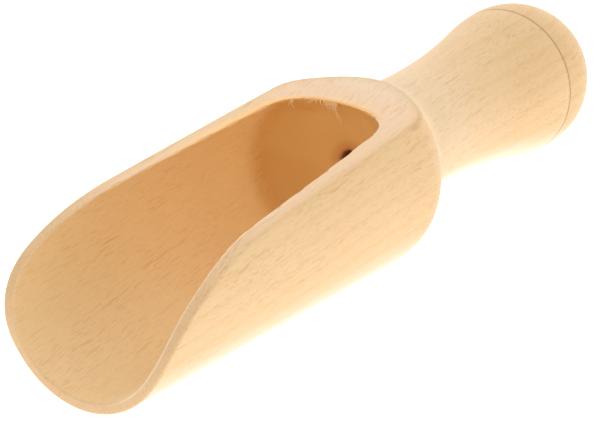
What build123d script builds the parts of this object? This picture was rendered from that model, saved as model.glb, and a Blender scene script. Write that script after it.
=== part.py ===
from build123d import *
from math import asin, atan, cos, degrees, hypot, pi, radians, sin, tan
import os

# A small measuring scoop, turned from one beech billet.
# The bowl is a tapered cylinder with a blind round bore. A saw and a sanding drum
# took its top away along one side curve, which leaves the lip, the sloping mouth
# and a nearly level land at the back. Behind the bowl come a rounded shoulder,
# a waisted neck, and a handle that flares into a domed knob with a turned ring line.
# It is drawn along its own axis first, with the lip at X 0 and the handle towards +X,
# and is then laid down as it rests on a table: on the shoulder and the knob.
# All lengths are in millimetres and all angles in degrees.

# Bowl
bowl_length = 63.1              # lip to where the shoulder's rounding begins
bowl_radius = 17.5              # outside of the bowl at the shoulder
bowl_taper = 1.5                # the outside is this much smaller in radius at the lip
lip_wall = 1.7                  # wall between the bore and the outside at the lip

# Shoulder between the bowl and the neck
shoulder_bend_radius = 8.5      # rounding from the bowl into the shoulder's cone
shoulder_angle = 37.3           # slope of the cone, from the axis
neck_fillet_radius = 7.0        # hollow rounding from the cone into the neck
neck_length = 7.0               # foot of the cone to the narrowest place
neck_radius = 10.05             # narrowest place of the handle

# Handle and knob
flare_length = 34.6             # narrowest place to the knob's widest
knob_radius = 13.77
knob_bend_radius = 36.0         # swelling that carries the flare over into the dome
dome_length = 13.1              # knob's widest place to its tip

# Turned ring line near the handle's end
ring_lead = 3.2                 # it runs this far before the knob's widest place
ring_width = 0.45
ring_depth = 0.3

# Bore: a flat-bottomed bit left rounded corners, a shallow cone and its point's hole
bore_reach = 3.2                # it ends this far behind the start of the shoulder
bore_corner_radius = 5.6
bore_end_angle = 13.6           # slope of the shallow cone at the end
point_hole_radius = 1.9
point_hole_depth = 5.0
point_cone_length = 1.6

# Side curve of the mouth, from the lip's foot to the shoulder
lip_lean_angle = 5.2            # the lip's face leans back from square
mouth_front_radius = 14.2       # tight first bend
mouth_front_end_angle = 31.3    # slope where the first bend hands over
mouth_rear_radius = 38.5        # slower second bend
land_cut = 6.88                 # depth of the cut below the bowl's top, at the land's end
land_angle = 5.2                # the land rises towards the handle
sweep_lead = 1.5                # it starts to sweep up this far before the shoulder
land_sweep_radius = 89.0        # gentle upward sweep through the shoulder

# Sanded edges of the mouth
outer_edge_ease = 0.6
inner_edge_ease = 0.25

# One overrun for every cutting body, and how close a point counts as on a curve
overrun = 5.0
closeness = 0.02

# Places along the axis and radii that follow from the sizes above
quarter_turn = degrees(pi / 2)
lip_radius = bowl_radius - bowl_taper
bore_radius = lip_radius - lip_wall
bore_end = bowl_length + bore_reach
cone_slope = tan(radians(shoulder_angle))
cone_top = bowl_length + shoulder_bend_radius * tan(radians(shoulder_angle) / 2)
cone_top_radius = lip_radius + bowl_taper * cone_top / bowl_length
cone_foot = cone_top + (cone_top_radius - neck_radius) / cone_slope
neck_position = cone_foot + neck_length
knob_position = neck_position + flare_length
ring_position = knob_position - ring_lead


def side_arc(start, start_angle, end_angle, radius):
    """Middle and end of an arc in the side view that leaves and arrives at two slopes."""
    turn = 1 if end_angle > start_angle else -1
    points = []
    for angle in ((start_angle + end_angle) / 2, end_angle):
        along = turn * radius * (sin(radians(angle)) - sin(radians(start_angle)))
        rise = turn * radius * (cos(radians(start_angle)) - cos(radians(angle)))
        points.append((start[0] + along, start[1] + rise))
    return points


def turned_billet():
    """The turned solid, before it is bored and cut open."""
    bowl = FilletPolyline(
        (0, lip_radius), (cone_top, cone_top_radius),
        (cone_foot, neck_radius), (neck_position, neck_radius),
        radius=[shoulder_bend_radius, neck_fillet_radius],
    )
    # The hollow flare and the knob's swelling are two arcs that meet tangent.
    flare_angle = 2 * degrees(atan((knob_radius - neck_radius) / flare_length))
    flare_radius = flare_length / sin(radians(flare_angle)) - knob_bend_radius
    neck = (neck_position, neck_radius)
    flare_middle, flare_end = side_arc(neck, 0, flare_angle, flare_radius)
    flare = ThreePointArc(neck, flare_middle, flare_end)
    # The swelling runs on until it meets the ball of the dome, near the widest place.
    drop = knob_bend_radius - knob_radius
    ball_radius = (knob_bend_radius**2 - dome_length**2 - drop**2) / 2
    ball_radius /= knob_bend_radius - dome_length
    meeting_angle = degrees(atan((ball_radius - dome_length) / drop))
    bend_middle, bend_end = side_arc(flare_end, flare_angle, meeting_angle, knob_bend_radius)
    swelling = ThreePointArc(flare_end, bend_middle, bend_end)
    dome_middle, tip = side_arc(bend_end, meeting_angle, -quarter_turn, ball_radius)
    dome = ThreePointArc(bend_end, dome_middle, tip)
    closing = Polyline(tip, (0, 0), (0, lip_radius))
    outline = make_face([*bowl.edges(), flare, swelling, dome, *closing.edges()])
    return revolve(Plane.XZ * outline, Axis.X)


def bore_tool():
    """The space that the drill clears, with its rounded corner and its point's hole."""
    corner = (bore_end - bore_radius * tan(radians(bore_end_angle)), bore_radius)
    wall = FilletPolyline(
        (-overrun, bore_radius), corner, (bore_end, 0), radius=[bore_corner_radius],
    )
    closing = Polyline((bore_end, 0), (-overrun, 0), (-overrun, bore_radius))
    bore = revolve(Plane.XZ * make_face([*wall.edges(), *closing.edges()]), Axis.X)
    hole_start = bore_end - overrun
    hole_end = bore_end + point_hole_depth
    point = Polyline(
        (hole_start, 0), (hole_start, point_hole_radius),
        (hole_end - point_cone_length, point_hole_radius), (hole_end, 0), (hole_start, 0),
    )
    return bore + revolve(Plane.XZ * make_face(point.edges()), Axis.X)


def mouth_line():
    """Side curve of the mouth as a list of edges, and its two ends."""
    lean = tan(radians(lip_lean_angle))
    climb = tan(radians(land_angle))
    sweep_start = (bowl_length - sweep_lead, bowl_radius - land_cut)
    front = (quarter_turn - lip_lean_angle, mouth_front_end_angle, mouth_front_radius)
    rear = (mouth_front_end_angle, land_angle, mouth_rear_radius)
    # The lip's face stands on its foot at X 0, and ends at the height from which
    # the two bends just reach the line of the land.
    foot = (-overrun * lean, -lip_radius - overrun)
    run, rise = side_arc(side_arc((0, 0), *front)[1], *rear)[1]
    land_at_lip = sweep_start[1] - climb * (sweep_start[0] - run - lean * lip_radius)
    turn_height = (land_at_lip - rise) / (1 - climb * lean)
    turn = ((turn_height + lip_radius) * lean, turn_height)
    front_middle, front_end = side_arc(turn, *front)
    rear_middle, rear_end = side_arc(front_end, *rear)
    sweep_run = neck_position - sweep_start[0]
    sweep_angle = land_angle + degrees(asin(sweep_run / land_sweep_radius))
    sweep_middle, sweep_end = side_arc(sweep_start, land_angle, sweep_angle, land_sweep_radius)
    edges = [
        Line(foot, turn),
        ThreePointArc(turn, front_middle, front_end),
        ThreePointArc(front_end, rear_middle, rear_end),
        Line(rear_end, sweep_start),
        ThreePointArc(sweep_start, sweep_middle, sweep_end),
    ]
    return edges, foot, sweep_end


def mouth_tool():
    """The block above and before the side curve, wider than the bowl."""
    edges, foot, sweep_end = mouth_line()
    top = bowl_radius + overrun
    front = foot[0] - overrun
    closing = Polyline(sweep_end, (sweep_end[0], top), (front, top), (front, foot[1]), foot)
    side_view = Plane.XZ * make_face([*edges, *closing.edges()])
    return extrude(side_view, bowl_radius + overrun, both=True)


def ring_tool():
    """A V-shaped ring that scores the line round the knob."""
    top = knob_radius + ring_depth
    groove = Polyline(
        (ring_position - ring_width, top), (ring_position, knob_radius - ring_depth),
        (ring_position + ring_width, top), (ring_position - ring_width, top),
    )
    return revolve(Plane.XZ * make_face(groove.edges()), Axis.X)


def mouth_edges(scoop, in_bore):
    """Edges where the mouth's cut meets the bore, or the outside of the bowl and shoulder."""
    curve = Plane.XZ * Wire(mouth_line()[0])
    rim = []
    for edge in scoop.edges():
        middle = edge.center(CenterOf.GEOMETRY)
        on_mouth = curve.distance_to(Vector(middle.X, 0, middle.Z)) < closeness
        radial = hypot(middle.Y, middle.Z)
        inside = middle.X < bore_end and radial < bore_radius + closeness
        # The straight edges that cross the mouth from side to side stay as they are.
        if on_mouth and inside == in_bore and edge.geom_type != GeomType.LINE:
            rim.append(edge)
    return rim


def ease_mouth(scoop):
    """Breaks the mouth's edges with small flats, more on the outside, as sanding leaves them."""
    scoop = chamfer(mouth_edges(scoop, False), outer_edge_ease)
    return chamfer(mouth_edges(scoop, True), inner_edge_ease)


def lay_down(scoop):
    """Tilts the scoop onto its shoulder and knob, and sets the origin below its middle."""
    tilt = degrees(atan((bowl_radius - knob_radius) / (knob_position - bowl_length)))
    resting = Rot(0, tilt, 0) * scoop
    box = resting.bounding_box()
    return Pos(-box.center().X, -box.center().Y, -box.min.Z) * resting


scoop = ease_mouth(turned_billet() - bore_tool() - mouth_tool()) - ring_tool()
scoop = lay_down(scoop)
scoop.label = "scoop"

os.makedirs("parts", exist_ok=True)
export_step(scoop, "parts/scoop.step")
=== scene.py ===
from math import asin, atan, atan2, cos, hypot, pi, radians, sin, tan

import bpy
from bpy.props import FloatProperty, FloatVectorProperty, PointerProperty
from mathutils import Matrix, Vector, kdtree


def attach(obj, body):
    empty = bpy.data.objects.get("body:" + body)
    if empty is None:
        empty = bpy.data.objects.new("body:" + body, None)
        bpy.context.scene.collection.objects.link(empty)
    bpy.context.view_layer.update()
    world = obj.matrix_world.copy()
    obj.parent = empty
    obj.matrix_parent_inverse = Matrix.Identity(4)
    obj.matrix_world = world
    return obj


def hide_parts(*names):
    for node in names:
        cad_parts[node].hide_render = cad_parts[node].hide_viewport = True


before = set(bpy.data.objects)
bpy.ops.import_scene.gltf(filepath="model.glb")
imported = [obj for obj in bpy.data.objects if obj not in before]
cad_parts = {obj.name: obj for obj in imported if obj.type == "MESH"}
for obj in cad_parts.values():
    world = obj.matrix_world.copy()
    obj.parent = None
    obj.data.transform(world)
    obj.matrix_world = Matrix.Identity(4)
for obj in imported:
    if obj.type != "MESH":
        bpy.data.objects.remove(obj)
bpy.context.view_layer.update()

bl_info = {
    "name": "Turned Beech Scoop",
    "version": (1, 0, 0),
    "blender": (4, 5, 0),
    "location": "View3D > Sidebar > Scoop",
    "description": "Makes a turned beech measuring scoop with its grain, torn fibres and studio",
    "category": "Add Mesh",
}

MM = 0.001
CURVE_STEP = 0.3 * MM       # between the points of a drawn curve
SKIN_STEP = 0.08 * MM       # between the points of the side curve that the skin follows
OVERRUN = 5 * MM            # how far the cutting bodies reach past the wood
SHARP = radians(32)         # two faces that meet at more than this make an edge
CLOSE = 0.004 * MM          # nearer than this counts as touching
SPLIT_REACHES = (1.4 * MM, 0.75 * MM)   # faces this near an edge are split, in two rounds
RIM_REACH = 2.2 * MM        # how far the mark of the bore's rim reaches
EDGE_REACH = 1.2 * MM       # how far the mark of the sharp edges reaches
BLUR_REACH = 1.5 * MM       # width over which sanding blurs the sawn faces' border
BLUR_START = ((12, 0), (28, 1))         # the blur's strength, by millimetres from the lip
AXIS_START = (-64.6316, 0, 21.8061)     # where the lip's centre rests, in millimetres
GRAIN_LEAN = (0, 0.08, -0.09)           # how the grain leans from the axis, in radians


# Sizes and colours that a user would change

def length(name, description, default):
    return FloatProperty(
        name=name, description=description, default=default * MM, unit="LENGTH", precision=5)


def angle(name, description, default):
    return FloatProperty(
        name=name, description=description, default=radians(default), subtype="ANGLE")


def colour(name, description, default):
    return FloatVectorProperty(
        name=name, description=description, default=default, size=3, min=0, max=1,
        subtype="COLOR")


def amount(name, description, default, top=1.0):
    return FloatProperty(name=name, description=description, default=default, min=0, max=top)


class ScoopForm(bpy.types.PropertyGroup):
    """The turned and sawn form, measured along the scoop's own axis."""

    bowl_length: length("Bowl length", "Lip to the start of the shoulder", 63.1)
    bowl_radius: length("Bowl radius", "Outside of the bowl at the shoulder", 17.5)
    bowl_taper: length("Bowl taper", "How much smaller the outside is at the lip", 1.5)
    lip_wall: length("Lip wall", "Wall between bore and outside at the lip", 1.7)
    shoulder_bend: length("Shoulder bend", "Rounding from the bowl into the shoulder", 8.5)
    shoulder_angle: angle("Shoulder angle", "Slope of the shoulder", 37.3)
    neck_hollow: length("Neck hollow", "Hollow rounding into the neck", 7.0)
    neck_length: length("Neck length", "Foot of the shoulder to the narrowest place", 7.0)
    neck_radius: length("Neck radius", "Narrowest place of the handle", 10.05)
    flare_length: length("Flare length", "Narrowest place to the knob's widest", 34.6)
    knob_radius: length("Knob radius", "Widest place of the knob", 13.77)
    knob_bend: length("Knob bend", "Swelling of the knob", 36.0)
    dome_length: length("Dome length", "Widest place of the knob to its tip", 13.1)
    ring_lead: length("Ring lead", "Scored line to the knob's widest place", 3.2)
    ring_width: length("Ring width", "Width of the scored line", 0.4)
    ring_depth: length("Ring depth", "Depth of the scored line", 0.28)
    bore_reach: length("Bore reach", "How far the bore runs past the shoulder's start", 3.2)
    bore_corner: length("Bore corner", "Rounding at the end of the bore", 5.6)
    bore_end_angle: angle("Bore end slope", "Shallow cone at the end of the bore", 13.6)
    point_radius: length("Point hole radius", "Mark of the drill's point", 1.9)
    point_depth: length("Point hole depth", "Depth of the point's mark", 5.0)
    lip_lean: angle("Lip lean", "How far the lip's face leans back", 5.2)
    front_bend: length("Front bend", "Tight first bend of the mouth", 14.2)
    front_angle: angle("Front slope", "Slope between the mouth's two bends", 31.3)
    rear_bend: length("Rear bend", "Slower second bend of the mouth", 38.5)
    land_cut: length("Land cut", "Depth of the cut below the bowl's top", 6.88)
    land_angle: angle("Land slope", "Rise of the land towards the handle", 5.2)
    sweep_lead: length("Sweep lead", "Where the land starts to sweep up", 1.5)
    land_sweep: length("Land sweep", "Upward sweep through the shoulder", 89.0)
    edge_ease: length("Edge ease", "How far the sanding has eased the mouth's edges", 1.1)
    inner_ease: length("Inner ease", "How far the sanding has eased the bore's rim", 0.3)
    mesh_size: length("Mesh size", "Side of one mesh face", 0.6)


class BeechLook(bpy.types.PropertyGroup):
    """Colours and strengths of the beech."""

    pale: colour("Pale wood", "Early wood of a growth ring", (0.77, 0.533, 0.283))
    warm: colour("Warm wood", "Late wood of a growth ring", (0.73, 0.472, 0.225))
    fleck: colour("Ray flecks", "Tint of the short brown rays", (0.80, 0.66, 0.52))
    # Blush: the sawn faces' pink tinge, with painted light from above in it.
    blush_and_top_light: colour("Blush", "Pink tinge of the sawn faces", (0.83, 0.585, 0.375))
    # Amber: the bore wall's tone, lightened and warmed with painted light.
    amber: colour("Amber", "Tone of the bore's wall", (0.88, 0.62, 0.305))
    # Edge glow: painted glow of light through the thin far rim.
    glow: colour("Edge glow", "Thin wood that light passes through", (0.98, 0.56, 0.19))
    fibre: colour("Torn fibre", "Pale slivers at the bore's rim", (0.90, 0.62, 0.31))
    # Scorch: painted shade inside the drill point's hole.
    point_hole_shade: colour("Scorch", "Wood that the drill's point burnt", (0.10, 0.025, 0.01))
    # Deep amber: painted shade at the end of the bore.
    end_shade: colour("Deep amber", "Tone at the end of the bore", (0.87, 0.52, 0.165))


class StudioLook(bpy.types.PropertyGroup):
    """Light and camera."""

    right_wall: amount("Right wall", "Soft light from the right of the camera", 0.87, 5)
    left_wall: amount("Left wall", "Soft light from the left of the camera", 0.63, 5)
    front_wall: amount("Front wall", "Soft light from behind the camera", 0.68, 5)
    back_wall: amount("Back wall", "Soft light from beyond the scoop", 1.55, 5)
    ceiling_watts: amount("Ceiling light", "Soft lamp above the table, in watts", 0.75, 50)
    floor_glow: amount("Floor glow", "Light that comes up through the white table", 0.62, 5)
    lens: FloatProperty(name="Lens", description="Focal length in mm", default=107.94)


# Helpers for modelling

def rounded(points, radii, step=CURVE_STEP):
    """Outline through corners, each rounded with its radius, as a list of points."""
    line = [points[0]]
    for before, corner, after, radius in zip(points, points[1:], points[2:], radii):
        come = (Vector(corner) - Vector(before)).normalized()
        leave = (Vector(after) - Vector(corner)).normalized()
        turn = atan2(come.cross(leave), come.dot(leave))
        reach = radius * tan(abs(turn) / 2)
        start = Vector(corner) - come * reach
        heading = atan2(come.y, come.x)
        line += arc(start, heading, heading + turn, radius, step)
    return line + [points[-1]]


def arc(start, first, last, radius, step=CURVE_STEP):
    """Points of an arc in the side view, from one heading to another."""
    side = 1 if last > first else -1
    count = max(3, int(abs(last - first) * radius / step))
    line = []
    for i in range(count + 1):
        a = first + (last - first) * i / count
        line.append((start[0] + side * radius * (sin(a) - sin(first)),
                     start[1] + side * radius * (cos(first) - cos(a))))
    return line


def stations(start, end, step):
    """Points from start to end, without the end."""
    count = max(1, int(hypot(end[0] - start[0], end[1] - start[1]) / step))
    return [(start[0] + (end[0] - start[0]) * i / count,
             start[1] + (end[1] - start[1]) * i / count) for i in range(count)]


def draw(name, points):
    """A line of edges in the X Z plane, drawn by extruding one vertex. Left in edit mode."""
    bpy.ops.object.select_all(action="DESELECT")
    bpy.ops.mesh.primitive_plane_add(size=MM, location=(0, 0, 0))
    piece = bpy.context.object
    piece.name = piece.data.name = name
    bpy.ops.object.mode_set(mode="EDIT")
    bpy.ops.mesh.select_mode(type="VERT")
    bpy.ops.mesh.select_all(action="SELECT")
    bpy.ops.mesh.merge(type="CENTER")
    bpy.ops.transform.translate(value=(points[0][0], 0, points[0][1]))
    for (x0, z0), (x1, z1) in zip(points, points[1:]):
        bpy.ops.mesh.extrude_region_move(
            TRANSFORM_OT_translate={"value": (x1 - x0, 0, z1 - z0)})
    bpy.ops.mesh.select_all(action="SELECT")
    return piece


def turn_on_lathe(name, outline, steps=240):
    """A solid of revolution about X from its half outline."""
    piece = draw(name, outline)
    bpy.ops.mesh.spin(steps=steps, angle=2 * pi, center=(0, 0, 0), axis=(1, 0, 0))
    bpy.ops.mesh.select_all(action="SELECT")
    bpy.ops.mesh.remove_doubles(threshold=CLOSE)
    bpy.ops.mesh.normals_make_consistent(inside=False)
    bpy.ops.object.mode_set(mode="OBJECT")
    return piece


def pick(piece):
    """Makes a piece the only selected one and the active one."""
    bpy.ops.object.select_all(action="DESELECT")
    piece.select_set(True)
    bpy.context.view_layer.objects.active = piece


def apply(piece, kind, **settings):
    """Adds a modifier with its settings and applies it."""
    pick(piece)
    modifier = piece.modifiers.new(kind.title(), kind)
    for key, value in settings.items():
        setattr(modifier, key, value)
    bpy.ops.object.modifier_apply(modifier=modifier.name)


def discard(piece):
    """Removes a piece and its mesh."""
    data = piece.data
    bpy.data.objects.remove(piece)
    bpy.data.meshes.remove(data)


def copy_of(piece, name):
    """A copy of a piece with a mesh of its own."""
    twin = bpy.data.objects.new(name, piece.data.copy())
    bpy.context.scene.collection.objects.link(twin)
    return twin


# The scoop's own lines

class Lines:
    """Outlines and places along the axis, worked out from the form's sizes."""

    def __init__(self, f):
        self.f = f
        slope = tan(f.shoulder_angle)
        self.lip_radius = f.bowl_radius - f.bowl_taper
        self.bore_radius = self.lip_radius - f.lip_wall
        self.bore_end = f.bowl_length + f.bore_reach
        self.cone_top = f.bowl_length + f.shoulder_bend * tan(f.shoulder_angle / 2)
        self.cone_radius = self.lip_radius + f.bowl_taper * self.cone_top / f.bowl_length
        self.cone_foot = self.cone_top + (self.cone_radius - f.neck_radius) / slope
        self.neck = self.cone_foot + f.neck_length
        self.knob = self.neck + f.flare_length
        self.tip = self.knob + f.dome_length
        self.ring = self.knob - f.ring_lead
        self.tilt = atan((f.bowl_radius - f.knob_radius) / (self.knob - f.bowl_length))

    def outside(self):
        """Half outline of the turned billet, from the lip's centre to the dome's tip."""
        f = self.f
        line = rounded(
            [(0, self.lip_radius), (self.cone_top, self.cone_radius),
             (self.cone_foot, f.neck_radius), (self.neck, f.neck_radius)],
            [f.shoulder_bend, f.neck_hollow])
        flare = 2 * atan((f.knob_radius - f.neck_radius) / f.flare_length)
        flare_radius = f.flare_length / sin(flare) - f.knob_bend
        line += arc((self.neck, f.neck_radius), 0, flare, flare_radius)[1:]
        drop = f.knob_bend - f.knob_radius
        ball = (f.knob_bend**2 - f.dome_length**2 - drop**2) / 2
        ball /= f.knob_bend - f.dome_length
        meeting = atan((ball - f.dome_length) / drop)
        line += arc(line[-1], flare, meeting, f.knob_bend)[1:]
        line += arc(line[-1], meeting, -pi / 2, ball)[1:]
        line[-1] = (self.tip, 0)
        return [(0, 0)] + line

    def bore(self):
        """Half outline of the bore with the hole of the drill's point."""
        f = self.f
        start = -OVERRUN
        corner = (self.bore_end - self.bore_radius * tan(f.bore_end_angle), self.bore_radius)
        foot = (self.bore_end - f.point_radius * tan(f.bore_end_angle), f.point_radius)
        wall = rounded([(start, self.bore_radius), corner, foot], [f.bore_corner])
        hole = self.bore_end + f.point_depth
        taper = f.point_radius * 0.8
        return [(start, 0)] + wall + [(hole - taper, f.point_radius), (hole, 0)]

    def mouth(self, step=CURVE_STEP):
        """Side curve from below the lip to above the neck."""
        f = self.f
        lean, climb = tan(f.lip_lean), tan(f.land_angle)
        bends = ((pi / 2 - f.lip_lean, f.front_angle, f.front_bend),
                 (f.front_angle, f.land_angle, f.rear_bend))
        run, rise = arc(arc((0, 0), *bends[0])[-1], *bends[1])[-1]
        sweep = (f.bowl_length - f.sweep_lead, f.bowl_radius - f.land_cut)
        at_lip = sweep[1] - climb * (sweep[0] - run - lean * self.lip_radius)
        height = (at_lip - rise) / (1 - climb * lean)
        line = [(-OVERRUN * lean, -self.lip_radius - OVERRUN)]
        line += arc(((height + self.lip_radius) * lean, height), *bends[0], step)
        line += arc(line[-1], *bends[1], step)[1:]
        last = f.land_angle + asin((self.neck - sweep[0]) / f.land_sweep)
        line += arc(sweep, f.land_angle, last, f.land_sweep, 3 * step)
        if step < CURVE_STEP:
            # The straight stretches are filled with points too.
            pairs = zip(line, line[1:])
            line = [p for pair in pairs for p in stations(*pair, step)] + line[-1:]
        return line

    def place(self, piece):
        """Lays a piece made along the axis down on its shoulder and knob, in its mesh."""
        piece.rotation_euler = (0, self.tilt, 0)
        piece.location = [side * MM for side in AXIS_START]
        pick(piece)
        bpy.ops.object.transform_apply(location=True, rotation=True, scale=True)


# The scoop's body

def cut_out(lines):
    """The turned billet, bored and sawn, with sharp edges."""
    f = lines.f
    body = turn_on_lathe("turned_billet", lines.outside())
    bore = turn_on_lathe("bore_tool", lines.bore())
    side = lines.mouth()
    top = half = f.bowl_radius + OVERRUN
    front = side[0][0] - OVERRUN
    saw = draw("saw_tool", side + [(side[-1][0], top), (front, top), (front, side[0][1])])
    bpy.ops.mesh.edge_face_add()
    bpy.ops.transform.translate(value=(0, -half, 0))
    bpy.ops.mesh.extrude_region_move(TRANSFORM_OT_translate={"value": (0, 2 * half, 0)})
    bpy.ops.mesh.select_all(action="SELECT")
    bpy.ops.mesh.normals_make_consistent(inside=False)
    bpy.ops.object.mode_set(mode="OBJECT")
    for tool in (bore, saw):
        apply(body, "BOOLEAN", operation="DIFFERENCE", solver="EXACT", object=tool)
        discard(tool)
    return body


def sharp_places(body):
    """Points along the sharp edges of the cut body, as a search tree."""
    spacing = 0.2 * MM
    pick(body)
    bpy.ops.object.mode_set(mode="EDIT")
    bpy.ops.mesh.select_mode(type="EDGE")
    bpy.ops.mesh.select_all(action="DESELECT")
    bpy.ops.mesh.edges_select_sharp(sharpness=SHARP)
    bpy.ops.object.mode_set(mode="OBJECT")
    places = []
    for edge in body.data.edges:
        if edge.select:
            a, b = (body.data.vertices[i].co for i in edge.vertices)
            count = max(1, int((b - a).length / spacing))
            places += [a.lerp(b, i / count) for i in range(count + 1)]
    return tree_of(places)


def tree_of(places):
    """Search tree that finds the nearest of some points."""
    tree = kdtree.KDTree(len(places))
    for i, place in enumerate(places):
        tree.insert(place, i)
    tree.balance()
    return tree


def between(value, table):
    """Straight-line interpolation in a table of pairs."""
    for (x0, y0), (x1, y1) in zip(table, table[1:]):
        if value < x1:
            return y0 + (y1 - y0) * max(0.0, (value - x0) / (x1 - x0))
    return table[-1][1]


def eased(a, b, reach, wide=0.0):
    """Height over the eased edge of two faces, the way out of the wood and the first's share.

    Within the wide reach below the edge the way leans towards the edge.
    """
    (height_a, way_a), (height_b, way_b) = a, b
    u, v = max(0.0, height_a + reach), max(0.0, height_b + reach)
    if u and v:
        size = hypot(u, v)
        return size - reach, (way_a * u + way_b * v) / size, u * u / (size * size)
    height, way, share = height_b, way_b, 0.0
    if height_a > height_b:
        height, way, share = height_a, way_a, 1.0
    u, v = max(0.0, height_a + wide), max(0.0, height_b + wide)
    if u and v:
        lean = (way_a * u + way_b * v).normalized()
        way = lean * max(0.5, way.dot(lean))
    return height, way, share


class Skin:
    """Heights over the scoop's faces along its axis, positive outside the wood."""

    # How much the outer edges are eased, by the place in millimetres from the lip
    OUTER_EASE = ((0, 0.35), (20, 0.4), (45, 0.45), (58, 0.35))
    OUTER_LEAN, INNER_LEAN = 2, 4.5     # the lean's reach as a multiple of the ease
    HOLE_EASE = 0.25 * MM

    def __init__(self, lines):
        self.lines = lines
        self.side = [Vector((x, 0, z)) for x, z in lines.mouth(SKIN_STEP)]
        self.tree = tree_of(self.side)
        self.outline = [p for p in lines.outside()[1:] if p[0] < lines.neck]

    def saw(self, p):
        """Height over the sawn side curve."""
        flat = Vector((p.x, 0, p.z))
        i = min(max(self.tree.find(flat)[1], 1), len(self.side) - 2)
        along = (self.side[i + 1] - self.side[i - 1]).normalized()
        up = Vector((-along.z, 0, along.x))
        return (flat - self.side[i]).dot(up), up

    def turned(self, p):
        """Height over the outside of the bowl and the shoulder."""
        step = 0.2 * MM
        before, radius, after = (
            between(p.x + shift, self.outline) for shift in (-step, 0, step))
        slope = (after - before) / (2 * step)
        radial = Vector((0, p.y, p.z)).normalized()
        size = hypot(1, slope)
        return (hypot(p.y, p.z) - radius) / size, (radial - Vector((slope, 0, 0))) / size

    def bored(self, p):
        """Height over the bore's wall and end, seen from the wood."""
        lines = self.lines
        f = lines.f
        r = hypot(p.y, p.z)
        radial = Vector((0, p.y, p.z)).normalized() if r else Vector((0, 0, 1))
        slope = tan(f.bore_end_angle)
        size = hypot(1, slope)
        wall = (r - lines.bore_radius, radial)
        cone = ((p.x - lines.bore_end + r * slope) / size,
                (Vector((1, 0, 0)) + radial * slope) / size)
        height, way, _ = eased(wall, cone, f.bore_corner)
        if r > 2 * f.point_radius:
            return -height, -way
        hole = (f.point_radius - r, -radial)
        return eased((-height, -way), hole, self.HOLE_EASE)[:2]

    def over(self, p):
        """Height over the eased skin, its direction, and the saw's and the bore's share."""
        f = self.lines.f
        saw = self.saw(p)
        reach = f.edge_ease * between(p.x / MM, self.OUTER_EASE)
        outer = eased(saw, self.turned(p), reach, self.OUTER_LEAN * reach)
        inner = eased(saw, self.bored(p), f.inner_ease, self.INNER_LEAN * f.inner_ease)
        share = min(outer[2], inner[2])
        if outer[0] > inner[0]:
            return outer[0], outer[1], share, 0.0
        return inner[0], inner[1], share, 1 - inner[2]


def sand(body, skin, edges, rounds=8):
    """Lays the vertices near the edges on the eased skin, and evens them out."""
    laid = 2.4 * skin.lines.f.edge_ease
    smoothed = 0.7 * laid
    gaps = [edges.find(v.co)[2] for v in body.data.vertices]
    group = body.vertex_groups.new(name="sanded")
    for v, gap in zip(body.data.vertices, gaps):
        if gap < smoothed:
            group.add([v.index], 1 - gap / smoothed, "REPLACE")
    for turn in range(rounds):
        apply(body, "SMOOTH", factor=0.5, iterations=max(1, 4 - turn), vertex_group="sanded")
        for v, gap in zip(body.data.vertices, gaps):
            if gap < laid:
                lay_on(skin, v)


def lay_on(skin, vertex, steps=14, longest=0.2 * MM):
    """Moves a vertex onto the eased skin in short steps."""
    for _ in range(steps):
        height, way, _, _ = skin.over(vertex.co)
        if abs(height) < CLOSE:
            break
        step = height / max(0.25, way.length_squared)
        vertex.co -= way * max(-longest, min(longest, step))


def make_body(lines):
    """The scoop's body with eased edges and the scored ring."""
    sharp = cut_out(lines)
    edges = sharp_places(sharp)
    body = copy_of(sharp, "scoop_body")
    apply(body, "REMESH", mode="VOXEL", voxel_size=lines.f.mesh_size, adaptivity=0)
    for reach in SPLIT_REACHES:
        apply(body, "SHRINKWRAP", target=sharp, wrap_method="NEAREST_SURFACEPOINT")
        refine(body, edges, reach)
    discard(sharp)
    skin = Skin(lines)
    sand(body, skin, edges)
    score_ring(body, lines)
    mark_faces(body, skin, edges)
    return body


def refine(body, edges, reach):
    """Splits the faces near the edges."""
    near = [edges.find(v.co)[2] < reach for v in body.data.vertices]
    bpy.ops.object.mode_set(mode="EDIT")
    bpy.ops.mesh.select_mode(type="FACE")
    bpy.ops.mesh.select_all(action="DESELECT")
    bpy.ops.object.mode_set(mode="OBJECT")
    for p in body.data.polygons:
        p.select = all(near[i] for i in p.vertices)
    bpy.ops.object.mode_set(mode="EDIT")
    bpy.ops.mesh.subdivide(number_cuts=1)
    bpy.ops.object.mode_set(mode="OBJECT")


def score_ring(body, lines):
    """Scores the V-shaped line round the knob."""
    f = lines.f
    reach = 3 * f.mesh_size
    bpy.ops.object.mode_set(mode="EDIT")
    bpy.ops.mesh.select_mode(type="VERT")
    # The two borders are cut first, so the floor of the V stays selected.
    for shift in (-0.5, 0.5, 0):
        place = lines.ring + shift * f.ring_width
        bpy.ops.object.mode_set(mode="OBJECT")
        for v in body.data.vertices:
            v.select = abs(v.co.x - place) < reach
        for e in body.data.edges:
            e.select = all(body.data.vertices[i].select for i in e.vertices)
        for p in body.data.polygons:
            p.select = all(body.data.vertices[i].select for i in p.vertices)
        bpy.ops.object.mode_set(mode="EDIT")
        bpy.ops.mesh.bisect(plane_co=(place, 0, 0), plane_no=(1, 0, 0), threshold=0.001 * MM)
    shrink = 1 - f.ring_depth / f.knob_radius
    bpy.ops.transform.resize(value=(1, shrink, shrink), center_override=(lines.ring, 0, 0))
    bpy.ops.object.mode_set(mode="OBJECT")


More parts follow.
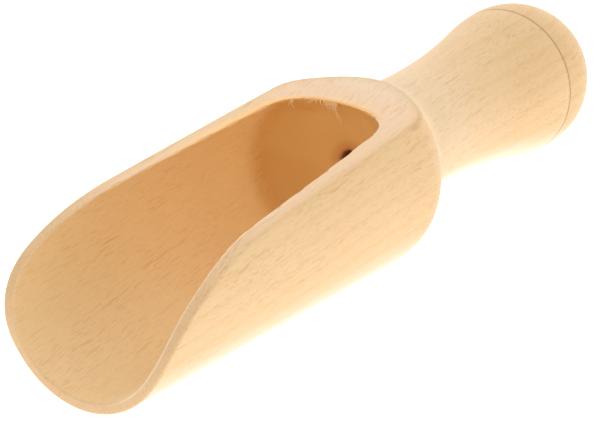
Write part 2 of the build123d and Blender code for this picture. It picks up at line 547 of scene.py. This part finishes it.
def mark_faces(body, skin, edges):
    """Stores where the bore's wall, the sawn faces and the edges are."""
    mesh = body.data
    marks = {"bore_wall": [], "sawn_face": [], "edge_near": [], "inner_near": []}
    for v in mesh.vertices:
        sawn = bored = rim = 0.0
        if v.co.x < skin.lines.neck:
            _, _, sawn, bored = skin.over(v.co)
            over_saw, over_bore = skin.saw(v.co)[0], skin.bored(v.co)[0]
            # Sanding blurs the sawn face's outer border behind the lip.
            inward = min(1.0, max(0.0, -skin.turned(v.co)[0] / BLUR_REACH))
            blur = between(v.co.x / MM, BLUR_START)
            sawn *= 1 - blur * (1 - inward)
            rim = max(0.0, 1 - hypot(min(0, over_saw), min(0, over_bore)) / RIM_REACH)
        marks["sawn_face"].append(sawn)
        marks["bore_wall"].append(bored)
        marks["inner_near"].append(rim)
        marks["edge_near"].append(max(0.0, 1 - edges.find(v.co)[2] / EDGE_REACH))
    for name, values in marks.items():
        mesh.attributes.new(name, "FLOAT", "POINT")
        mesh.attributes[name].data.foreach_set("value", values)


# Beech

def group(name, inputs, outputs):
    """A new node group with its sockets, its inner inputs and its inner outputs."""
    tree = bpy.data.node_groups.new(name, "ShaderNodeTree")
    for label, kind, default in inputs:
        socket = tree.interface.new_socket(name=label, in_out="INPUT", socket_type=kind)
        if default is not None:
            socket.default_value = default
    for label, kind in outputs:
        tree.interface.new_socket(name=label, in_out="OUTPUT", socket_type=kind)
    return tree, tree.nodes.new("NodeGroupInput"), tree.nodes.new("NodeGroupOutput")


class Wire:
    """Short calls for building a node tree."""

    def __init__(self, tree):
        self.tree = tree

    def put(self, socket, value):
        """Links a socket to another one, or sets its value."""
        if hasattr(value, "is_output"):
            self.tree.links.new(value, socket)
        elif value is not None:
            socket.default_value = value

    def math(self, operation, a, b=None, clamp=False):
        node = self.tree.nodes.new("ShaderNodeMath")
        node.operation = operation
        node.use_clamp = clamp
        for socket, value in zip(node.inputs, (a, b)):
            self.put(socket, value)
        return node.outputs[0]

    def times(self, product, *others):
        """Product of two or more values."""
        for other in others:
            product = self.math("MULTIPLY", product, other)
        return product

    def rest(self, value, share=1.0, clamp=False):
        """What a share of a value leaves of one."""
        return self.math("SUBTRACT", 1.0, self.times(value, share), clamp=clamp)

    def scaled(self, value, factor, start):
        """A value times a factor, on top of a start."""
        return self.math("ADD", self.times(value, factor), start)

    def vector(self, operation, a, b=None):
        node = self.tree.nodes.new("ShaderNodeVectorMath")
        node.operation = operation
        for socket, value in zip(node.inputs, (a, b)):
            self.put(socket, value)
        return node.outputs["Value" if operation == "LENGTH" else "Vector"]

    def dot(self, a, b):
        node = self.tree.nodes.new("ShaderNodeVectorMath")
        node.operation = "DOT_PRODUCT"
        self.put(node.inputs[0], a)
        self.put(node.inputs[1], b)
        return node.outputs["Value"]

    def mapped(self, vector, location=(0, 0, 0), rotation=(0, 0, 0), scale=(1, 1, 1)):
        node = self.tree.nodes.new("ShaderNodeMapping")
        self.put(node.inputs["Vector"], vector)
        node.inputs["Location"].default_value = location
        node.inputs["Rotation"].default_value = rotation
        node.inputs["Scale"].default_value = scale
        return node.outputs[0]

    def noise(self, vector, size, detail=2.0, rough=0.5, colour=False):
        """Noise whose scale differs along and across the axis."""
        along, across = size
        node = self.tree.nodes.new("ShaderNodeTexNoise")
        self.put(node.inputs["Vector"], self.mapped(vector, scale=(along, across, across)))
        node.inputs["Scale"].default_value = 1.0
        node.inputs["Detail"].default_value = detail
        node.inputs["Roughness"].default_value = rough
        return node.outputs["Color" if colour else "Fac"]

    def ramp(self, value, low, high):
        """Mask that rises smoothly from low to high."""
        node = self.tree.nodes.new("ShaderNodeMapRange")
        node.interpolation_type = "SMOOTHSTEP"
        self.put(node.inputs["Value"], value)
        self.put(node.inputs["From Min"], low)
        self.put(node.inputs["From Max"], high)
        return node.outputs["Result"]

    def mix(self, factor, a, b, blend="MIX"):
        node = self.tree.nodes.new("ShaderNodeMix")
        node.data_type = "RGBA"
        node.blend_type = blend
        self.put(node.inputs["Factor"], factor)
        for socket, value in ((node.inputs[6], a), (node.inputs[7], b)):
            if isinstance(value, tuple):
                value = (*value[:3], 1.0)
            self.put(socket, value)
        return node.outputs[2]

    def tint(self, factor, colour, by):
        """Multiplies a colour by another one, as far as the factor says."""
        return self.mix(factor, colour, self.mix(1.0, colour, by, blend="MULTIPLY"))

    def attribute(self, name):
        node = self.tree.nodes.new("ShaderNodeAttribute")
        node.attribute_name = name
        return node.outputs["Fac"]

    def parts(self, vector):
        node = self.tree.nodes.new("ShaderNodeSeparateXYZ")
        self.put(node.inputs[0], vector)
        return node.outputs


# Length and thickness of a ray fleck in millimetres, where its mask starts and ends, strength
FLECKS = ((3.0, 0.27, 0.55, 0.75, 0.6), (1.8, 0.2, 0.55, 0.76, 0.5), (7.0, 0.38, 0.59, 0.77, 0.8))


def grain_group():
    """Beech in millimetres along X: growth rings, ray flecks, fibres and slow mottling."""
    tree, enter, leave = group(
        "beech_grain",
        [("Vector", "NodeSocketVector", None), ("Ring spacing", "NodeSocketFloat", 2.6)],
        [("Rings", "NodeSocketFloat"), ("Flecks", "NodeSocketFloat"),
         ("Fibres", "NodeSocketFloat"), ("Mottle", "NodeSocketFloat")])
    w = Wire(tree)
    place = enter.outputs["Vector"]
    wander = w.noise(place, (0.013, 0.07), 1.0, colour=True)
    bent = w.vector("ADD", place, w.vector("MULTIPLY", wander, (0.0, 2.6, 2.6)))
    ripple = w.noise(place, (0.22, 0.30), colour=True)
    bent = w.vector("ADD", bent, w.vector("MULTIPLY", ripple, (0.0, 0.45, 0.45)))
    # Growth rings round a pith far outside the billet.
    pith = w.mapped(bent, location=(0, 34, 58), scale=(0.0, 1, 1))
    reach = w.vector("LENGTH", pith)
    phase = w.math("FRACT", w.math("DIVIDE", reach, enter.outputs["Ring spacing"]))
    w.put(leave.inputs["Rings"], w.times(w.ramp(phase, 0.45, 0.93), w.ramp(phase, 1.0, 0.95)))
    # Ray flecks: soft dashes along the grain in three sizes, denser in patches.
    total = None
    for long, thick, low, high, strength in FLECKS:
        moved = w.mapped(bent, location=(long * 9, 3, 7), scale=(1 / long, 1 / thick, 1 / thick))
        fleck = w.times(w.ramp(w.noise(moved, (1.0, 1.0), 1.0), low, high), strength)
        total = fleck if total is None else w.math("MAXIMUM", total, fleck)
    patch = w.ramp(w.noise(place, (0.06, 0.16)), 0.36, 0.62)
    w.put(leave.inputs["Flecks"], w.times(total, w.scaled(patch, 0.55, 0.45)))
    w.put(leave.inputs["Fibres"], w.noise(bent, (0.55, 4.4), 2.0, 0.6))
    w.put(leave.inputs["Mottle"], w.noise(place, (0.035, 0.09), 3.0))
    return tree


def marks_group():
    """Marks of the tools: turning rings round the axis."""
    tree, enter, leave = group(
        "tool_marks", [("Vector", "NodeSocketVector", None)], [("Turning", "NodeSocketFloat")])
    w = Wire(tree)
    w.put(leave.inputs["Turning"], w.noise(enter.outputs["Vector"], (2.4, 0.05), 3.0, 0.6))
    return tree


# Zones along the axis in millimetres from the lip: a mask rises from the first to the second
ZONES = {
    "front": (30.0, 8.0), "near_lip": (45.0, 12.0), "back_light": (5.0, 50.0),
    "rim_back": (20.0, 50.0), "rear_light": (44.0, 54.0), "land": (55.0, 66.0),
    "bore_end": (55.5, 61.0), "end_grain": (59.0, 62.5), "crest_shade": (60.0, 63.0),
    "round_point_shade": (62.5, 65.5), "point_hole": (63.2, 66.5), "neck_start": (66.0, 74.0),
    "neck_end": (104.0, 86.0), "waist_start": (66.0, 71.0), "waist_end": (93.0, 80.0),
}

# Tints that the wood's colour is multiplied by
TINTS = {
    "waist": (1.0, 1.08, 1.16), "lip": (0.93, 0.86, 0.76), "dome": (0.96, 0.92, 0.84),
    "front_shade": (0.93, 0.93, 0.97), "back_light": (1.1, 1.07, 1.03),
    "rear_light": (1.06, 1.10, 1.12), "cloud": (0.95, 0.88, 0.78), "bore_end": (0.97, 0.98, 1.04),
    "streak": (0.86, 0.72, 0.6), "crest_shade": (0.88, 0.83, 0.77),
}

# Tones that are mixed into the wood's colour
TONES = {
    "painted_highlight_line": (1.0, 0.82, 0.66), "ring_shade": (0.46, 0.29, 0.15), "end_lit_side": (0.90, 0.60, 0.235),
    "round_point_shade": (0.58, 0.22, 0.06), "table_light": (0.96, 0.87, 0.78),
}


class Wood:
    """The beech's colour and height, built up zone by zone."""

    def __init__(self, tree, look, lines):
        self.w = w = Wire(tree)
        self.look, self.lines = look, lines
        coords = tree.nodes.new("ShaderNodeTexCoord").outputs
        self.normal = coords["Normal"]
        # Millimetres along the scoop's own axis, from the lip.
        start_x, _, start_z = AXIS_START
        moved = w.mapped(
            coords["Object"], location=(-start_x, 0, -start_z), scale=(1000, 1000, 1000))
        self.place = w.mapped(moved, rotation=(0, -lines.tilt, 0))
        self.x, self.y, _ = w.parts(self.place)
        grain = self.shared("beech_grain", w.mapped(self.place, rotation=GRAIN_LEAN))
        self.rings, self.flecks, self.fibres, self.mottle = grain.outputs
        self.turning = self.shared("tool_marks", self.place).outputs["Turning"]
        self.bore, self.sawn, self.edge, self.rim = (
            w.attribute(name) for name in ("bore_wall", "sawn_face", "edge_near", "inner_near"))
        # Sawn faces are pinker at the land than at the lip, and so is the hollow of the neck. On
        # the sawn faces the pink is their own tinge with painted light from above, strongest on
        # the land that faces up.
        self.front = self.zone("front")
        pink_and_top_light = w.math("SUBTRACT", w.scaled(self.zone("land"), 0.35, 0.65),
                      w.times(self.front, 0.3))
        hollow = w.times(self.zone("neck_start"), self.zone("neck_end"), 0.45)
        self.pink_and_top_light = w.math("MAXIMUM", w.times(self.sawn, pink_and_top_light), hollow)

    def shared(self, name, place):
        """One of the shared node groups, at a place."""
        node = self.w.tree.nodes.new("ShaderNodeGroup")
        node.node_tree = bpy.data.node_groups[name]
        self.w.put(node.inputs["Vector"], place)
        return node

    def zone(self, name):
        """Mask of a zone along the axis."""
        return self.w.ramp(self.x, *ZONES[name])

    def turned_faces(self):
        """Growth rings and slow mottling, with the pink of the sawn faces, partly painted light
        from above, and a pale waist.
        """
        w, look = self.w, self.look
        mottling = w.times(w.ramp(self.mottle, 0.35, 0.65), 0.35)
        tone = w.math("ADD", w.times(self.rings, 0.45), mottling, clamp=True)
        colour = w.mix(tone, tuple(look.pale), tuple(look.warm))
        colour = w.mix(self.pink_and_top_light, colour, tuple(look.blush_and_top_light))
        waist = w.times(self.zone("waist_start"), self.zone("waist_end"))
        return w.tint(waist, colour, TINTS["waist"])

    def lip_and_knob(self, colour):
        """The lip's face, the painted highlight where it meets the bore, the dome and the painted
        shade in the ring line.
        """
        w = self.w
        colour = w.tint(w.times(self.sawn, self.front, 0.5), colour, TINTS["lip"])
        # Painted highlight along the bore's near inner edge.
        highlight = w.times(
            w.ramp(self.rim, 0.78, 0.96), w.ramp(self.y, -4.0, -9.0), self.sawn,
            w.scaled(self.zone("near_lip"), 0.4, 0.35))
        colour = w.mix(highlight, colour, TONES["painted_highlight_line"])
        # The dome is a little deeper in tone, and the ring line is darkened with painted shade.
        past_ring = w.math("SUBTRACT", self.x, self.lines.ring / MM)
        colour = w.tint(w.times(w.ramp(past_ring, 0.1, 0.6), 0.7), colour, TINTS["dome"])
        score = w.ramp(w.math("ABSOLUTE", past_ring), 0.62, 0.2)
        return w.mix(w.times(score, 0.26), colour, TONES["ring_shade"])

    def bore_tone(self):
        """The bore's wall in painted light and shade: amber with painted warm light, darker at
        the front and paler towards the back, deepening into painted shade at its cloudy end,
        lighter on the end's near side.
        """
        w, look = self.w, self.look
        # Painted shade at the front of the bore's wall and painted light towards its back.
        soft = w.mix(self.zone("back_light"), TINTS["front_shade"], TINTS["back_light"])
        wall = w.mix(1.0, tuple(look.amber), soft, blend="MULTIPLY")
        wall = w.tint(self.zone("rear_light"), wall, TINTS["rear_light"])
        # Painted shade on the bore's end, with painted light on its near side.
        end = w.mix(
            w.times(w.ramp(self.y, 5.0, -9.0), 0.6), tuple(look.end_shade), TONES["end_lit_side"])
        end = w.tint(w.times(w.ramp(self.mottle, 0.42, 0.6), 0.7), end, TINTS["cloud"])
        end = w.mix(1.0, end, TINTS["bore_end"], blend="MULTIPLY")
        return w.mix(self.zone("bore_end"), wall, end)

    def grain(self, colour):
        """Fine streaks and ray flecks, which are weak on the bore's end."""
        w = self.w
        streak = w.times(w.ramp(self.fibres, 0.42, 0.72), 0.20)
        colour = w.tint(streak, colour, TINTS["streak"])
        self.flecks = w.times(
            self.flecks, w.rest(w.times(self.bore, self.zone("end_grain")), 0.85))
        strength = w.times(self.flecks, w.scaled(self.pink_and_top_light, 0.2, 0.8))
        return w.tint(strength, colour, tuple(self.look.fleck))

    def marks(self, colour):
        """Painted glow of the far rim, painted shade round and in the drill's point hole, painted
        shade on the shoulder's crest and painted light from the table on the undersides.
        """
        w, look = self.w, self.look
        # Painted glow of light through the thin far rim of the bore.
        rim = w.times(self.rim, self.zone("rim_back"), w.ramp(self.sawn, 0.15, 0.6),
                      w.ramp(self.y, -11.0, -5.0))
        glow = w.math("POWER", w.math("MULTIPLY", rim, 1.15, clamp=True), 2.0)
        colour = w.mix(glow, colour, tuple(look.glow))
        from_axis = w.vector("LENGTH", w.mapped(self.place, scale=(0, 1, 1)))
        # Painted shade round the drill point's hole.
        round_point_shade = w.times(self.zone("round_point_shade"), w.ramp(from_axis, 4.6, 2.0), self.bore, 0.6)
        colour = w.mix(round_point_shade, colour, TONES["round_point_shade"])
        # Painted shade that tones down the highlight on the shoulder's crest.
        crest_shade = w.times(w.ramp(self.edge, 0.4, 0.85), self.zone("crest_shade"), 0.8)
        colour = w.tint(crest_shade, colour, TINTS["crest_shade"])
        # Darker painted shade inside the drill point's hole.
        point = w.times(self.zone("point_hole"), w.ramp(from_axis, 2.7, 1.3), self.bore)
        colour = w.mix(point, colour, tuple(look.point_hole_shade))
        # Painted light from the white table: the undersides are paler, whichever side they are
        # seen from.
        table_lit = w.ramp(w.parts(self.normal)[2], -0.3, -0.8)
        table_lit = w.times(table_lit, w.rest(self.bore, clamp=True), 0.55)
        return w.mix(table_lit, colour, TONES["table_light"])

    def height(self):
        """Height of the bump: raised fibres, sunken flecks and the turning marks."""
        w = self.w
        height = w.math("SUBTRACT", w.times(self.fibres, 0.8), self.flecks)
        return w.math("ADD", height, w.times(self.turning, 0.5))


def beech(look, lines):
    """The material of the scoop's body."""
    material = bpy.data.materials.new("beech_wood")
    material.use_nodes = True
    tree = material.node_tree
    shader = next(n for n in tree.nodes if n.type == "BSDF_PRINCIPLED")
    wood = Wood(tree, look, lines)
    w = wood.w
    colour = wood.lip_and_knob(wood.turned_faces())
    colour = w.mix(w.times(wood.bore, 0.95), colour, wood.bore_tone())
    colour = wood.marks(wood.grain(colour))
    w.put(shader.inputs["Base Color"], colour)
    w.put(shader.inputs["Roughness"], w.scaled(wood.fibres, 0.12, 0.52))
    bump = tree.nodes.new("ShaderNodeBump")
    bump.inputs["Strength"].default_value = 0.35
    bump.inputs["Distance"].default_value = 0.06 * MM
    w.put(bump.inputs["Height"], wood.height())
    w.put(shader.inputs["Normal"], bump.outputs[0])
    shader.inputs["Specular IOR Level"].default_value = 0.5
    shader.inputs["Sheen Weight"].default_value = 0.15
    shader.inputs["Sheen Roughness"].default_value = 0.35
    return material


# Torn fibres

# Place across the rim, how far each hangs down, its swing and its curl, in millimetres
FIBRES = (
    (8.25, 1.3, 0.3, 0.3), (8.05, 1.5, 0.1, -0.5), (8.1, 0.9, 0.5, 0.2), (5.6, 0.7, 0.5, 0.6),
    (5.3, 0.95, 0.3, 0.9), (4.75, 0.6, -0.3, 0.1), (4.1, 0.8, -0.5, -0.2), (3.5, 0.7, -0.6, 0.1),
    (3.2, 1.3, -0.9, -0.3), (2.95, 1.5, -0.5, -0.4), (2.7, 1.1, -1.0, 0.2),
    (2.45, 1.5, -0.7, -0.2), (2.2, 1.2, -1.1, 0.3), (1.95, 1.4, -0.6, 0.2),
    (1.8, 2.2, -0.9, -0.3), (1.6, 3.3, -0.8, -0.7), (1.5, 2.7, -1.1, -0.2),
    (1.2, 1.0, -0.5, -0.3),
)
FIBRE_RADIUS = 0.07 * MM
FIBRE_PARTS = 5


def rim_place(skin, side):
    """Point of the bore's far rim at a place across the scoop, found by halving."""
    low, high = 40 * MM, skin.lines.bore_end
    behind_lip = [(p.x, p.z) for p in skin.side[20:]]
    for _ in range(30):
        x = (low + high) / 2
        z = between(x, behind_lip)
        if skin.bored(Vector((x, side, z)))[0] < 0:
            high = x
        else:
            low = x
    return Vector((low, side, z))


# Operators

class SCOOP_OT_body(bpy.types.Operator):
    """Turn, bore, saw and sand the scoop's body"""

    bl_idname = "scoop.body"
    bl_label = "Scoop body"

    def execute(self, context):
        scene = context.scene
        lines = Lines(scene.scoop_form)
        body = make_body(lines)
        lines.place(body)
        body.data.materials.append(beech(scene.scoop_beech, lines))
        bpy.ops.object.shade_smooth_by_angle(angle=radians(40))
        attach(body, "root")
        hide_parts("scoop")
        return {"FINISHED"}


class SCOOP_OT_beech(bpy.types.Operator):
    """Build the node groups that the beech materials share"""

    bl_idname = "scoop.beech"
    bl_label = "Beech grain"

    def execute(self, context):
        grain_group()
        marks_group()
        return {"FINISHED"}


class SCOOP_OT_fibres(bpy.types.Operator):
    """Hang the torn fibres on the far rim of the bore"""

    bl_idname = "scoop.fibres"
    bl_label = "Torn fibres"

    def execute(self, context):
        scene = context.scene
        lines = Lines(scene.scoop_form)
        skin = Skin(lines)
        data = bpy.data.curves.new("torn_fibres", "CURVE")
        data.dimensions = "3D"
        data.bevel_depth = FIBRE_RADIUS
        data.bevel_resolution = 1
        data.use_fill_caps = True
        for side, drop, swing, curl in FIBRES:
            base = rim_place(skin, side * MM)
            spline = data.splines.new("POLY")
            spline.points.add(FIBRE_PARTS)
            for i, point in enumerate(spline.points):
                t = i / FIBRE_PARTS
                # It bows out over the rim, swings aside and thins out as it hangs down.
                bow = -0.35 * sin(pi * min(1, 1.2 * t)) - 0.25 * t
                fall = -0.1 - (drop - 0.1) * t
                point.co = (*(base + Vector((bow, swing * t + curl * t * t, fall)) * MM), 1)
                point.radius = 1.15 - 0.75 * t
        fibres = bpy.data.objects.new("torn_fibres", data)
        scene.collection.objects.link(fibres)
        pick(fibres)
        bpy.ops.object.convert(target="MESH")
        fibres = context.object
        lines.place(fibres)
        pale = bpy.data.materials.new("torn_fibre")
        pale.use_nodes = True
        shader = next(n for n in pale.node_tree.nodes if n.type == "BSDF_PRINCIPLED")
        shader.inputs["Base Color"].default_value = (*scene.scoop_beech.fibre, 1)
        shader.inputs["Roughness"].default_value = 0.55
        fibres.data.materials.append(pale)
        bpy.ops.object.shade_smooth()
        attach(fibres, "root")
        return {"FINISHED"}


class SCOOP_OT_studio(bpy.types.Operator):
    """Set up the pale floor, the soft lights and the camera"""

    bl_idname = "scoop.studio"
    bl_label = "Studio"

    FLOOR_SIZE = 6
    FLOOR_DROP = 0.1 * MM
    CAMERA_PLACE = (-0.21339193, -0.15486, 0.14430127)
    CAMERA_TURN = (62.65008653, 1.84428884, -53.23858748)   # degrees about X, Y and Z
    ASIDE = Vector((0.598, -0.801, 0))      # to the right of the camera
    TOWARDS = Vector((-0.801, -0.598, 0))   # from the scoop towards the camera
    WALL_RISE = Vector((0, 0, 0.45))        # lifts the walls' centres above the table
    WALL_BORDER = (0.5, 0.85)               # cosines between which a wall's light fades in

    def execute(self, context):
        scene = context.scene
        look = scene.scoop_studio
        self.floor(look)
        scene.world = self.room(look)
        self.lamp("ceiling_light", look.ceiling_watts, size=0.7, place=(0, 0, 0.6))
        scene.camera = self.camera(look)
        scene.view_settings.view_transform = "Standard"
        scene.view_settings.look = "None"
        return {"FINISHED"}

    def floor(self, look):
        """A wide white table that glows a little, so it photographs pure white."""
        bpy.ops.object.select_all(action="DESELECT")
        bpy.ops.mesh.primitive_plane_add(size=self.FLOOR_SIZE, location=(0, 0, -self.FLOOR_DROP))
        floor = bpy.context.object
        floor.name = "floor"
        paper = bpy.data.materials.new("white_paper")
        paper.use_nodes = True
        shader = next(n for n in paper.node_tree.nodes if n.type == "BSDF_PRINCIPLED")
        shader.inputs["Base Color"].default_value = (0.95, 0.95, 0.95, 1)
        shader.inputs["Roughness"].default_value = 0.9
        shader.inputs["Emission Color"].default_value = (1, 1, 1, 1)
        shader.inputs["Emission Strength"].default_value = look.floor_glow
        floor.data.materials.append(paper)

    def camera(self, look):
        """A camera at the photograph's viewing angle."""
        data = bpy.data.cameras.new("photo_camera")
        data.lens = look.lens
        data.sensor_width = 36
        data.clip_start, data.clip_end = 0.01, 20
        camera = bpy.data.objects.new("photo_camera", data)
        bpy.context.scene.collection.objects.link(camera)
        camera.location = self.CAMERA_PLACE
        camera.rotation_euler = [radians(turn) for turn in self.CAMERA_TURN]
        return camera

    def room(self, look):
        """Four soft walls of light round the table, in the world's directions."""
        world = bpy.data.worlds.new("soft_room")
        world.use_nodes = True
        w = Wire(world.node_tree)
        way = world.node_tree.nodes.new("ShaderNodeTexCoord").outputs["Generated"]
        total = 0.0
        for direction, strength in (
                (self.ASIDE, look.right_wall), (-self.ASIDE, look.left_wall),
                (self.TOWARDS, look.front_wall), (-self.TOWARDS, look.back_wall)):
            centre = (direction + self.WALL_RISE).normalized()
            wall = w.ramp(w.dot(way, tuple(centre)), *self.WALL_BORDER)
            total = w.scaled(wall, strength, total)
        background = world.node_tree.nodes["Background"]
        background.inputs["Color"].default_value = (1, 0.99, 0.97, 1)
        w.put(background.inputs["Strength"], total)
        return world

    def lamp(self, name, watts, size, place):
        """A round soft lamp that faces the scoop."""
        data = bpy.data.lights.new(name, "AREA")
        data.shape = "DISK"
        data.size = size
        data.energy = watts
        lamp = bpy.data.objects.new(name, data)
        bpy.context.scene.collection.objects.link(lamp)
        lamp.location = place
        lamp.rotation_euler = (-Vector(place)).to_track_quat("-Z", "Y").to_euler()


class SCOOP_PT_panel(bpy.types.Panel):
    """Lists the scoop's operators and sizes."""

    bl_idname = "SCOOP_PT_panel"
    bl_label = "Turned Beech Scoop"
    bl_space_type = "VIEW_3D"
    bl_region_type = "UI"
    bl_category = "Scoop"

    def draw(self, context):
        for name in ("scoop.beech", "scoop.body", "scoop.fibres", "scoop.studio"):
            self.layout.operator(name)
        for holder in ("scoop_form", "scoop_beech", "scoop_studio"):
            box = self.layout.box()
            settings = getattr(context.scene, holder)
            for key in settings.__annotations__:
                box.prop(settings, key)


CLASSES = (
    ScoopForm, BeechLook, StudioLook, SCOOP_OT_beech, SCOOP_OT_body, SCOOP_OT_fibres,
    SCOOP_OT_studio, SCOOP_PT_panel,
)


def register():
    for item in CLASSES:
        bpy.utils.register_class(item)
    bpy.types.Scene.scoop_form = PointerProperty(type=ScoopForm)
    bpy.types.Scene.scoop_beech = PointerProperty(type=BeechLook)
    bpy.types.Scene.scoop_studio = PointerProperty(type=StudioLook)


def unregister():
    for name in ("scoop_form", "scoop_beech", "scoop_studio"):
        delattr(bpy.types.Scene, name)
    for item in reversed(CLASSES):
        bpy.utils.unregister_class(item)


def main():
    register()
    bpy.ops.scoop.beech()
    bpy.ops.scoop.body()
    bpy.ops.scoop.fibres()
    bpy.ops.scoop.studio()


if __name__ == "__main__":
    main()
